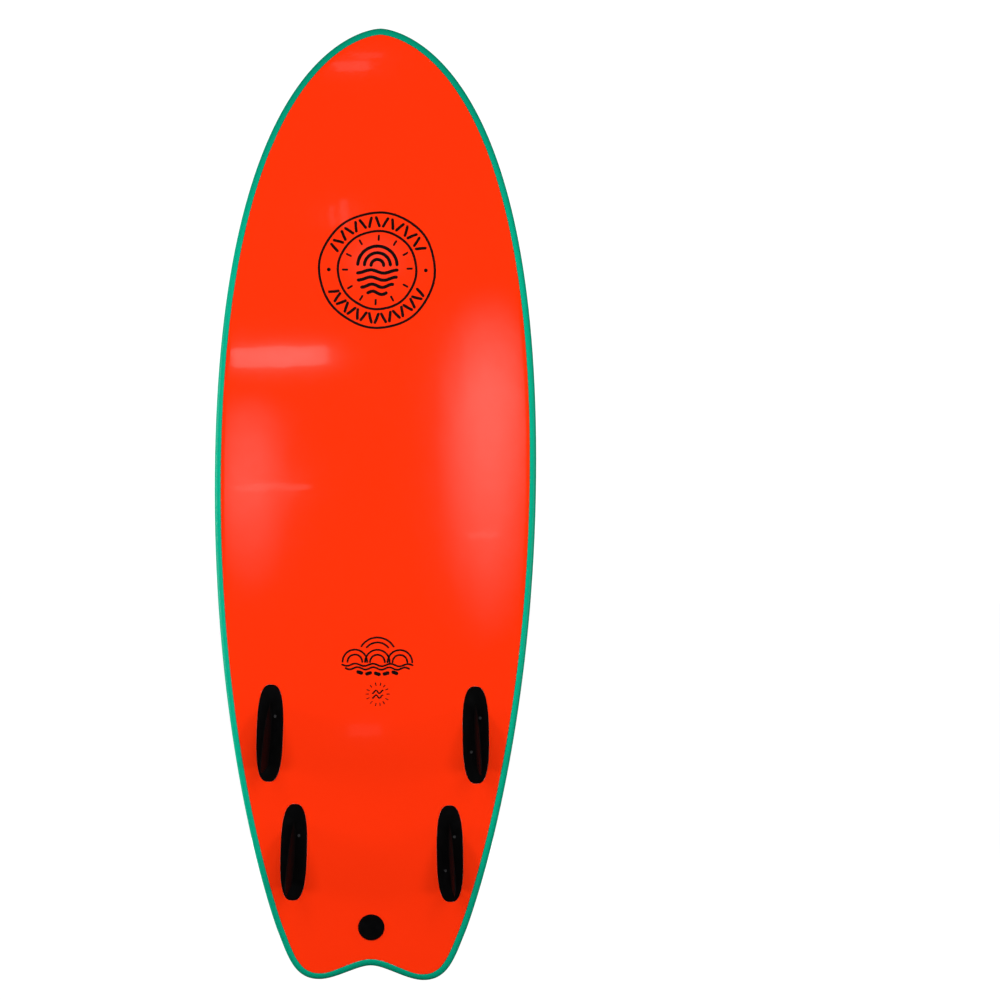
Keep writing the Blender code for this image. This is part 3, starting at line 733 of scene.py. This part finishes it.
# ---------------- leash plug
def make_leash_cup(place, look, bar_look):
    points = oval(CUP_FLANGE_RADIUS, CUP_FLANGE_RADIUS, 2, DISC_STEPS)
    cup = add("plug_cup", plate(points, CUP_PROUD - CUP_FLANGE, CUP_PROUD, CUP_ROUND), look)
    cup.matrix_world = place
    boolean(cup, "UNION", disc(CUP_RADIUS, -CUP_DEPTH, CUP_PROUD - CUP_FLANGE / 2, DISC_STEPS), place)
    high = (SLOT_HALF_WIDTH, CLEAR, SLOT_HALF_LENGTH)
    slot = block((-SLOT_HALF_WIDTH, -SLOT_DEPTH, -SLOT_HALF_LENGTH), high)
    for vert in slot.vertices:
        if vert.co.y < 0 and vert.co.z < 0:
            vert.co.z += SLOT_RAMP
    boolean(cup, "DIFFERENCE", slot, place)
    reach = SLOT_HALF_WIDTH + BAR_NOTCH
    high = CUP_PROUD - BAR_SINK
    low = high - BAR_THICK
    notch = block((-reach, low - GAP, -BAR_HALF_HEIGHT - GAP), (reach, CLEAR, BAR_HALF_HEIGHT + GAP))
    boolean(cup, "DIFFERENCE", notch, place)
    for x in GROOVES:
        half = math.sqrt(GROOVE_REACH**2 - x**2)
        for side in (-1, 1):
            groove = block(
                (side * x - GROOVE_HALF_WIDTH, CUP_PROUD - GROOVE_DEPTH, -half),
                (side * x + GROOVE_HALF_WIDTH, CLEAR, half),
            )
            boolean(cup, "DIFFERENCE", groove, place)
    bake(cup)
    round_edges(cup, CUP_EDGE)
    fit(cup, BOARD, "plug_plastic", "leash_cup")

    solid = block((-reach + GAP, low, -BAR_HALF_HEIGHT), (reach - GAP, high, BAR_HALF_HEIGHT))
    bar = add("plug_bar", solid, bar_look)
    bar.matrix_world = place
    round_edges(bar, BAR_EDGE, segments=4)
    fit(bar, BOARD, "bar_plastic", "leash_bar", 50)


def make_leash_cap(place, look):
    points = oval(CAP_RADIUS, CAP_RADIUS, 2, DISC_STEPS)
    obj = add("plug_cap", plate(points, CAP_PROUD - CAP_THICK, CAP_PROUD, CAP_ROUND), look)
    obj.matrix_world = place
    room = thickness(PLUG_Z) - CUP_DEPTH - STEM_GAP
    boolean(obj, "UNION", disc(STEM_RADIUS, -room, CAP_PROUD - CAP_THICK / 2, STEM_STEPS), place)
    fit(obj, BOARD, "plug_plastic", "leash_cap")


# ---------------- prints
PRINT_PROUD, PRINT_SUNK, PRINT_STEP = 0.00013, 0.00015, 0.0016
ROUND_END = (30, 58, 80)  # degrees round a stroke's end, where it gets its cross-sections
DOT_STEPS, RING_STEPS, WAVE_STEPS, BOW_STEPS = 16, 180, 48, 32
BADGE = (0.0, 1.265)
DECK_MARK, BOTTOM_MARK, BOTTOM_DIAL = (0.0, 0.364), (-0.007, 0.578), (-0.008, 0.511)
MARK_WIDTH = 0.1250
BAND_RADIUS, BAND_LENGTH, BAND_LINE, BAND_LEAN, BAND_DOT = 0.0862, 0.0150, 0.0050, 0.034, 0.0034


def on_circle(centre, radius, turn):
    return centre[0] + radius * math.cos(turn), centre[1] + radius * math.sin(turn)


class Print:
    """Strokes and dots of ink laid on a surface, each a thin closed solid.

    Places on it are (u, v): u runs along +X and v along +Z.
    """

    def __init__(self, name, target, from_deck, look):
        self.name, self.look = name, look
        self.tree = BVHTree.FromObject(target, bpy.context.evaluated_depsgraph_get())
        self.out = -1.0 if from_deck else 1.0
        self.bm = bmesh.new()

    def lay(self, u, v, lift):
        hit = self.tree.ray_cast(Vector((u, self.out, v)), Vector((0, -self.out, 0)))
        return self.bm.verts.new(hit[0] + Vector((0, self.out * lift, 0)))

    def dot(self, centre, radius):
        rim = [on_circle(centre, radius, 2 * math.pi * i / DOT_STEPS) for i in range(DOT_STEPS)]
        top = [self.lay(*point, PRINT_PROUD) for point in rim]
        base = [self.lay(*point, -PRINT_SUNK) for point in rim]
        self.bm.faces.new(top)
        self.bm.faces.new(base)
        for i in range(len(rim)):
            j = (i + 1) % len(rim)
            self.bm.faces.new((top[i], top[j], base[j], base[i]))

    def fine(self, path, closed):
        """The same path with points no more than PRINT_STEP apart, so that the ink follows the surface."""
        points = []
        for one, two in zip(path, path[1:] + path[:1] if closed else path[1:]):
            steps = max(1, math.ceil(math.hypot(two[0] - one[0], two[1] - one[1]) / PRINT_STEP))
            for i in range(steps):
                points.append(tuple(a + (b - a) * (i / steps) for a, b in zip(one, two)))
        return points if closed else points + [path[-1]]

    def stroke(self, path, width, closed=False):
        """A line of ink along a path of (u, v) points, one solid, with round ends unless it is closed."""
        path = self.fine(path, closed)
        count, half = len(path), width / 2
        rows = []
        for i in range(count):
            before = path[(i - 1) % count] if closed or i else path[i]
            after = path[(i + 1) % count] if closed or i < count - 1 else path[i]
            du, dv = after[0] - before[0], after[1] - before[1]
            size = math.hypot(du, dv)
            rows.append((path[i], (du / size, dv / size), half))
        if not closed:
            (first, ahead, _), (last, onward, _) = rows[0], rows[-1]
            for turn in ROUND_END:
                far, wide = half * math.sin(math.radians(turn)), half * math.cos(math.radians(turn))
                rows.insert(0, ((first[0] - far * ahead[0], first[1] - far * ahead[1]), ahead, wide))
                rows.append(((last[0] + far * onward[0], last[1] + far * onward[1]), onward, wide))
        sections = []
        for (u, v), (du, dv), wide in rows:
            across = [(u - dv * wide * side, v + du * wide * side) for side in (1, 0, -1)]
            top = [self.lay(*point, PRINT_PROUD) for point in across]
            sections.append(top + [self.lay(*point, -PRINT_SUNK) for point in reversed(across)])
        pairs = list(zip(sections, sections[1:]))
        if closed:
            pairs.append((sections[-1], sections[0]))
        for one, two in pairs:
            for i in range(6):
                j = (i + 1) % 6
                self.bm.faces.new((one[i], one[j], two[j], two[i]))
        if not closed:
            self.bm.faces.new(sections[0])
            self.bm.faces.new(sections[-1])

    def ring(self, centre, radius, width, wobble):
        """A ring that looks drawn by hand."""
        path = []
        for i in range(RING_STEPS):
            a = 2 * math.pi * i / RING_STEPS
            r = radius * (1 + wobble * math.sin(3 * a + 1.1) + 0.6 * wobble * math.sin(8 * a + 0.4))
            path.append(on_circle(centre, r, a))
        self.stroke(path, width, closed=True)

    def ticks(self, centre, radius, length, width, count):
        for i in range(count):
            a = 2 * math.pi * i / count + 0.05 * math.sin(5 * i)
            near, far = radius - length / 2, radius + length / 2
            self.stroke([on_circle(centre, r, a) for r in (near, radius, far)], width)

    def wave(self, centre, length, height, width, periods=1.5):
        path = []
        for i in range(WAVE_STEPS + 1):
            t = i / WAVE_STEPS - 0.5
            rise = height / 2 * math.sin(2 * math.pi * periods * t)
            path.append((centre[0] + length * t, centre[1] + rise))
        self.stroke(path, width)

    def arc(self, centre, radius, start, end, width):
        turns = [math.radians(start + (end - start) * i / BOW_STEPS) for i in range(BOW_STEPS + 1)]
        self.stroke([on_circle(centre, radius, turn) for turn in turns], width)

    def sun_and_swell(self, centre, width, height, line):
        """A banded sun over four lines of swell: the badge in the rings."""
        u, v = centre
        for radius in (0.50, 0.33, 0.16):
            self.arc((u, v + 0.08 * height), radius * width, 4, 176, line)
        for row, share in enumerate((1.00, 0.96, 0.78, 0.46)):
            periods = 1.5 if row < 3 else 1.0
            self.wave((u, v - (0.03 + 0.135 * row) * height), share * width, 0.060 * height, line, periods)

    def shore_mark(self, centre, width, line):
        """Rolling crests with a sun behind them, over a line of bold dashes."""
        u, v = centre
        self.arc((u, v), 0.27 * width, 32, 148, line)
        self.arc((u, v), 0.20 * width, 40, 140, line)
        for side in (-1, 0, 1):
            crest = (u + 0.32 * side * width, v - 0.08 * width)
            for radius in (0.175, 0.105):
                self.arc(crest, radius * width, 0, 180, line)
        self.wave((u, v - 0.12 * width), width, 0.035 * width, line, periods=4)
        self.wave((u, v - 0.17 * width), 0.90 * width, 0.035 * width, line, periods=4)
        for i in range(-2, 3):
            middle = (u + 0.125 * i * width, v - (0.245 - 0.004 * i * i) * width)
            lean = 0.3 * (-1) ** i
            ends = [(middle[0] + d * width, middle[1] + lean * d * width) for d in (-0.024, 0.0, 0.024)]
            self.stroke(ends, 2.0 * line)

    def done(self):
        obj = add(self.name, to_mesh(self.name, self.bm), self.look)
        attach(obj, BOARD)
        return obj


def make_band(ink):
    """A zigzag of bold strokes between the two rings, above and below, and a dot on either side."""
    ways = (-0.5, 0.0, 0.5)
    for start, end, count in ((27, 153, 15), (207, 333, 17)):
        for i in range(count):
            a = math.radians(start + (end - start) * i / (count - 1))
            lean = BAND_LEAN * (-1) ** i
            path = [on_circle(BADGE, BAND_RADIUS + way * BAND_LENGTH, a + 2 * lean * way) for way in ways]
            ink.stroke(path, BAND_LINE)
    for side in (-1, 1):
        ink.dot((BADGE[0] + side * BAND_RADIUS, BADGE[1]), BAND_DOT)


def print_deck(deck):
    top = Print("print_on_deck", deck, True, ink_look("orange-red ink", RED_INK))
    top.ring(BADGE, radius=0.1010, width=0.0046, wobble=0.007)
    top.ticks(BADGE, radius=0.0820, length=0.0100, width=0.0036, count=12)
    top.sun_and_swell(BADGE, width=0.094, height=0.124, line=0.0064)
    top.shore_mark(DECK_MARK, MARK_WIDTH, line=0.0030)
    top.done()


def print_bottom(slick):
    under = Print("print_on_bottom", slick, False, ink_look("black ink", BLACK_INK))
    under.ring(BADGE, radius=0.1028, width=0.0042, wobble=0.008)
    under.ring(BADGE, radius=0.0697, width=0.0042, wobble=0.007)
    under.ticks(BADGE, radius=0.0575, length=0.0078, width=0.0036, count=12)
    under.sun_and_swell(BADGE, width=0.070, height=0.094, line=0.0058)
    make_band(under)
    under.shore_mark(BOTTOM_MARK, MARK_WIDTH, line=0.0032)
    under.ticks(BOTTOM_DIAL, radius=0.0185, length=0.0042, width=0.0017, count=14)
    for rise in (0.0042, -0.0042):
        middle = (BOTTOM_DIAL[0], BOTTOM_DIAL[1] + rise)
        under.wave(middle, length=0.0180, height=0.0052, width=0.0026)
    under.done()


# ---------------- the board
def make_board():
    form = Form()
    box_look = black_plastic_look("fin box plastic", BLACK, 0.0007, 0.50, 0.10)
    fin_look = black_plastic_look("fin plastic", shade(BLACK, 2.0), 0.0004, 0.74, 0.02)
    plug_look = black_plastic_look("leash plug plastic", shade(BLACK, 2.6), 0.0006, 0.42, 0.30)
    bar_look = black_plastic_look("leash bar plastic", shade(BLACK, 4.0), 0.0004, 0.36, 0.35)
    steel = screw_look()

    slick_holes = []
    oval_hole = oval(BOX_HALF_WIDTH + GAP, BOX_HALF_LENGTH + GAP, BOX_POWER, OVAL_STEPS)
    for side, sign in (("left", -1), ("right", 1)):
        for row, (x, z) in BOX_PLACES.items():
            label = f"{row}_{side}"
            place = seat(sign * x, z, False, -sign * TOE_IN)
            cant = Matrix.Rotation(-sign * CANT, 4, "Z")
            make_fin_box(label, place, cant, box_look)
            make_fin(label, place @ cant, fin_look)
            for tab, end in (("fore", 1), ("aft", -1)):
                make_screw(f"{label}_{tab}", screw_place(place, end), steel)
            slick_holes.append((prism(oval_hole, -CLEAR, CLEAR), place))
    deck_place, bottom_place = seat(0, PLUG_Z, True), seat(0, PLUG_Z, False)
    make_leash_cup(deck_place, plug_look, bar_look)
    make_leash_cap(bottom_place, box_look)
    slick_holes.append((disc(STEM_RADIUS + GAP, -CLEAR, CLEAR, STEM_STEPS), bottom_place))
    deck_holes = [(disc(CUP_FLANGE_RADIUS + GAP, -DECK_HOLE_DEPTH, CLEAR, DISC_STEPS), deck_place)]

    deck = make_deck(form, deck_foam_look(), deck_holes)
    ride(deck, BOARD, "deck_foam", "deck_skin")
    slick = make_slick(form, slick_look(), slick_holes)
    ride(slick, BOARD, "slick", "bottom_slick")
    print_deck(deck)
    print_bottom(slick)
    dress_inside()


def dress_inside():
    """The CAD nodes that stay as they are get their materials."""
    core = bead_foam_look("core bead foam", (0.90, 0.90, 0.88, 1.0), 0.004)
    backing = bead_foam_look("backing foam", (0.82, 0.82, 0.80, 1.0), 0.0015)
    inside = {"core_left": core, "core_centre": core, "core_right": core, "bottom_backing": backing}
    wood = wood_look()
    inside.update({"stringer_left": wood, "stringer_right": wood})
    for node, look in inside.items():
        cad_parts[node].material_slots[0].material = look


# ---------------- studio
LENS, SENSOR = 200, 36
VIEW_WIDTH = 1.7759  # what the picture takes in at the board, in metres
DISTANCE = VIEW_WIDTH * LENS / SENSOR
CAMERA_X, CAMERA_Z = -0.2219875, 0.858  # the board stands left of the picture's middle
ROLL = math.radians(0.545)
MIDDLE = (0, 0, 0.85)
WHITE_LEVEL, AMBIENT = 1.1, 0.14  # the world's light to the camera, and on diffuse surfaces
FLOOR_RADIUS, FLOOR_LOW, FLOOR_TOP = 40, -0.05, -0.0005
PANEL_DISTANCE, NORMAL_STEP, SPREAD_STEP = 1.7, 0.008, 0.012
RAGGED_SCALE, RAGGED_DETAIL = 1.6, 3.0  # the noise that shifts a panel's edge
SWAY = {"haze": 0.25, "streak": 0.5}


def make_camera():
    data = bpy.data.cameras.new("camera")
    data.lens = LENS
    data.sensor_width = SENSOR
    data.clip_end = 200
    obj = bpy.data.objects.new("camera", data)
    bpy.context.scene.collection.objects.link(obj)
    place = Matrix.Translation((CAMERA_X, FLAT_Y + DISTANCE, CAMERA_Z))
    turn = Matrix.Rotation(math.pi, 4, "Z") @ Matrix.Rotation(math.pi / 2, 4, "X")
    obj.matrix_world = place @ turn @ Matrix.Rotation(ROLL, 4, "Z")
    bpy.context.scene.camera = obj


def softbox(name, place, towards, size, power, shows):
    """A lamp hidden from the camera, that shows in diffuse light or in reflections."""
    data = bpy.data.lights.new(name, "AREA")
    data.shape = "RECTANGLE"
    data.size, data.size_y = size
    data.energy = power
    # With it, a lamp that is hidden from reflections still leaks into glossy surfaces.
    data.cycles.use_multiple_importance_sampling = shows == "reflections"
    obj = bpy.data.objects.new(name, data)
    bpy.context.scene.collection.objects.link(obj)
    facing = (Vector(towards) - Vector(place)).to_track_quat("-Z", "Y").to_matrix().to_4x4()
    obj.matrix_world = Matrix.Translation(place) @ facing
    obj.visible_camera = False
    obj.visible_diffuse = shows == "diffuse"
    obj.visible_glossy = shows == "reflections"


def glow(name, kind, radiance, softness):
    """Light that fades towards a panel's edges: a round haze, or a streak with squarer ends."""
    material = bpy.data.materials.new(name)
    material.use_nodes = True
    nodes, links = material.node_tree.nodes, material.node_tree.links
    nodes.clear()

    def vector(operation, *inputs):
        made = nodes.new("ShaderNodeVectorMath")
        made.operation = operation
        for socket, value in zip(made.inputs, inputs):
            if isinstance(value, tuple):
                socket.default_value = value
            else:
                links.new(value, socket)
        return made.outputs

    place = nodes.new("ShaderNodeTexCoord").outputs["Object"]
    ragged = nodes.new("ShaderNodeTexNoise")
    ragged.inputs["Scale"].default_value = RAGGED_SCALE
    ragged.inputs["Detail"].default_value = RAGGED_DETAIL
    links.new(place, ragged.inputs["Vector"])
    shift = (0.3 * SWAY[kind], SWAY[kind], 0)
    mean_shift = tuple(part / 2 for part in shift)
    shifted = vector("MULTIPLY_ADD", ragged.outputs["Color"], shift, place)["Vector"]
    centred = vector("SUBTRACT", shifted, mean_shift)["Vector"]
    if kind == "streak":
        centred = vector("POWER", vector("ABSOLUTE", centred)["Vector"], (3, 3, 3))["Vector"]
    fade = nodes.new("ShaderNodeMapRange")
    fade.interpolation_type = "SMOOTHSTEP"
    for socket, value in {"From Min": 1 - softness, "From Max": 1, "To Min": radiance, "To Max": 0}.items():
        fade.inputs[socket].default_value = value
    links.new(vector("LENGTH", centred)["Value"], fade.inputs["Value"])
    light = nodes.new("ShaderNodeEmission")
    links.new(fade.outputs["Result"], light.inputs["Strength"])
    both = nodes.new("ShaderNodeAddShader")
    links.new(light.outputs[0], both.inputs[0])
    links.new(nodes.new("ShaderNodeBsdfTransparent").outputs[0], both.inputs[1])
    output = nodes.new("ShaderNodeOutputMaterial")
    links.new(both.outputs[0], output.inputs["Surface"])
    return material


def sheet():
    """A flat square of two by two units."""
    corners = ((-1, -1, 0), (1, -1, 0), (1, 1, 0), (-1, 1, 0))
    mesh = bpy.data.meshes.new("sheet")
    mesh.from_pydata(corners, [], [(0, 1, 2, 3)])
    return mesh


def mirrored(surface, x, z):
    """Where the camera's view of the bottom at (x, z) is mirrored to, on the panels' plane."""
    def place(x, z):
        return surface.ray_cast(Vector((x, 1, z)), Vector((0, -1, 0)))[0]

    across = place(x + NORMAL_STEP, z) - place(x - NORMAL_STEP, z)
    upward = place(x, z + NORMAL_STEP) - place(x, z - NORMAL_STEP)
    normal = upward.cross(across).normalized()
    point = place(x, z)
    ray = (point - bpy.context.scene.camera.matrix_world.translation).normalized()
    ray = ray - 2 * ray.dot(normal) * normal
    return point + ray * (FLAT_Y + PANEL_DISTANCE - point.y) / ray.y


def panel(name, place, radiance, kind, softness):
    """A glowing sheet at a place, seen only in reflections."""
    obj = add(name, sheet(), glow(name, kind, radiance, softness))
    obj.matrix_world = place
    for ray in ("camera", "diffuse", "transmission", "shadow", "volume_scatter"):
        setattr(obj, f"visible_{ray}", False)


def reflector(surface, name, x, z, size, radiance, kind="haze", softness=0.9, turn=0.0):
    """A panel that the camera sees mirrored in the slick round the point (x, z)."""
    step = SPREAD_STEP
    spread_x = mirrored(surface, x + step, z).x - mirrored(surface, x - step, z).x
    spread_z = mirrored(surface, x, z + step).z - mirrored(surface, x, z - step).z
    half_width = abs(spread_x) / (4 * step) * size[0]
    half_height = abs(spread_z) / (4 * step) * size[1]
    upright = Matrix.Rotation(math.pi / 2, 4, "X") @ Matrix.Rotation(turn, 4, "Z")
    half = Matrix.Diagonal((half_width, half_height, 1, 1))
    place = Matrix.Translation(mirrored(surface, x, z)) @ upright @ half
    panel(name, place, radiance, kind, softness)


def make_world():
    """White to the camera, a dim even light on diffuse surfaces, and black in reflections."""
    world = bpy.data.worlds.new("white studio")
    bpy.context.scene.world = world
    world.use_nodes = True
    nodes, links = world.node_tree.nodes, world.node_tree.links
    background = nodes["Background"]
    background.inputs["Color"].default_value = (1, 1, 1, 1)
    ray = nodes.new("ShaderNodeLightPath")
    level = nodes.new("ShaderNodeMapRange")
    level.inputs["To Min"].default_value = AMBIENT
    level.inputs["To Max"].default_value = WHITE_LEVEL
    links.new(ray.outputs["Is Camera Ray"], level.inputs["Value"])
    links.new(level.outputs["Result"], background.inputs["Strength"])
    world.cycles_visibility.glossy = False


def make_floor():
    look = Look("white floor", (0.08, 0.08, 0.08, 1.0), 0.6, Specular_IOR_Level=0.1)
    look.shader.inputs["Emission Color"].default_value = (1, 1, 1, 1)
    look.shader.inputs["Emission Strength"].default_value = 1.0
    look.roughness(look.noise(0.4, 2.0), 0.55, 0.65)
    rim = oval(FLOOR_RADIUS, FLOOR_RADIUS, 2, DISC_STEPS)
    outlines = [[(x, y, z) for x, y in rim] for z in (FLOOR_LOW, FLOOR_TOP)]
    floor = add("floor", turned(outlines), look.material)
    floor.visible_diffuse = False
    floor.visible_glossy = False


# What is seen mirrored in the slick: name, x, z, size on the slick, radiance, kind, softness and turn.
STREAKS = (
    ("haze left", 0.228, 0.900, (0.170, 0.420), 1.1),
    ("haze right", -0.200, 1.020, (0.200, 0.600), 1.9),
    ("haze in the ring", 0.006, 1.285, (0.120, 0.110), 0.5),
    ("band", 0.172, 1.112, (0.200, 0.040), 2.2, "streak", 0.35, math.radians(-4)),
    ("thin streak", 0.185, 0.877, (0.150, 0.012), 1.5, "streak", 0.4, math.radians(-3)),
    ("short streak", -0.195, 0.795, (0.050, 0.009), 1.2, "streak", 0.4),
    ("nose streak", 0.052, 1.632, (0.070, 0.020), 1.0, "streak", 0.5, math.radians(-8)),
    ("nose streak above", 0.020, 1.652, (0.060, 0.012), 0.6, "streak", 0.5, math.radians(-12)),
    ("stroke", 0.060, 1.365, (0.014, 0.050), 0.9, "streak", 0.5),
    ("stroke beside", 0.084, 1.360, (0.010, 0.040), 0.7, "streak", 0.5),
    ("faint streak", 0.014, 0.447, (0.062, 0.022), 0.25, "streak", 0.5, math.radians(-5)),
)


def light_bottom():
    """High keys, low fills and side rims, the streaks, and a soft sheen for a view from the side."""
    softbox("bottom key left", (1.3, 6.4, 3.4), MIDDLE, (3.0, 3.0), 182, "diffuse")
    softbox("bottom key right", (-1.7, 6.4, 3.4), MIDDLE, (3.0, 3.0), 182, "diffuse")
    softbox("bottom fill left", (2.8, 6.0, 0.4), MIDDLE, (0.9, 0.9), 85, "diffuse")
    softbox("bottom fill right", (-3.2, 6.0, 0.4), MIDDLE, (0.9, 0.9), 85, "diffuse")
    softbox("bottom rim left", (2.6, 0.6, 0.8), MIDDLE, (0.6, 0.9), 18, "diffuse")
    softbox("bottom rim right", (-2.6, 0.6, 0.8), MIDDLE, (0.6, 0.9), 13, "diffuse")
    surface = BVHTree.FromObject(bpy.data.objects["slick_bottom"], bpy.context.evaluated_depsgraph_get())
    for streak in STREAKS:
        reflector(surface, *streak)
    facing = Matrix.Rotation(math.radians(-45), 4, "Z") @ Matrix.Rotation(math.pi / 2, 4, "X")
    place = Matrix.Translation((1.5, 1.9, 0.45)) @ facing @ Matrix.Diagonal((0.55, 0.95, 1, 1))
    panel("bottom sheen", place, 1.3, "haze", 0.97)


def light_deck():
    """A key that is low and to the right, a fill, and a thin shine along either rail."""
    softbox("deck key", (2.2, -1.7, 0.20), (0, 0, 0.55), (0.8, 1.2), 135, "diffuse")
    softbox("deck fill", (0.2, -4.2, 0.5), MIDDLE, (1.4, 1.8), 92, "diffuse")
    softbox("deck shine right", (2.6, -1.2, 0.80), MIDDLE, (0.12, 1.2), 6, "reflections")
    softbox("deck shine left", (-2.6, -1.0, 0.72), MIDDLE, (0.06, 0.8), 2, "reflections")


def make_studio():
    scene = bpy.context.scene
    scene.view_settings.view_transform = "Standard"
    scene.view_settings.look = "None"
    make_world()
    make_floor()
    light_bottom()
    light_deck()


make_board()
make_camera()
make_studio()
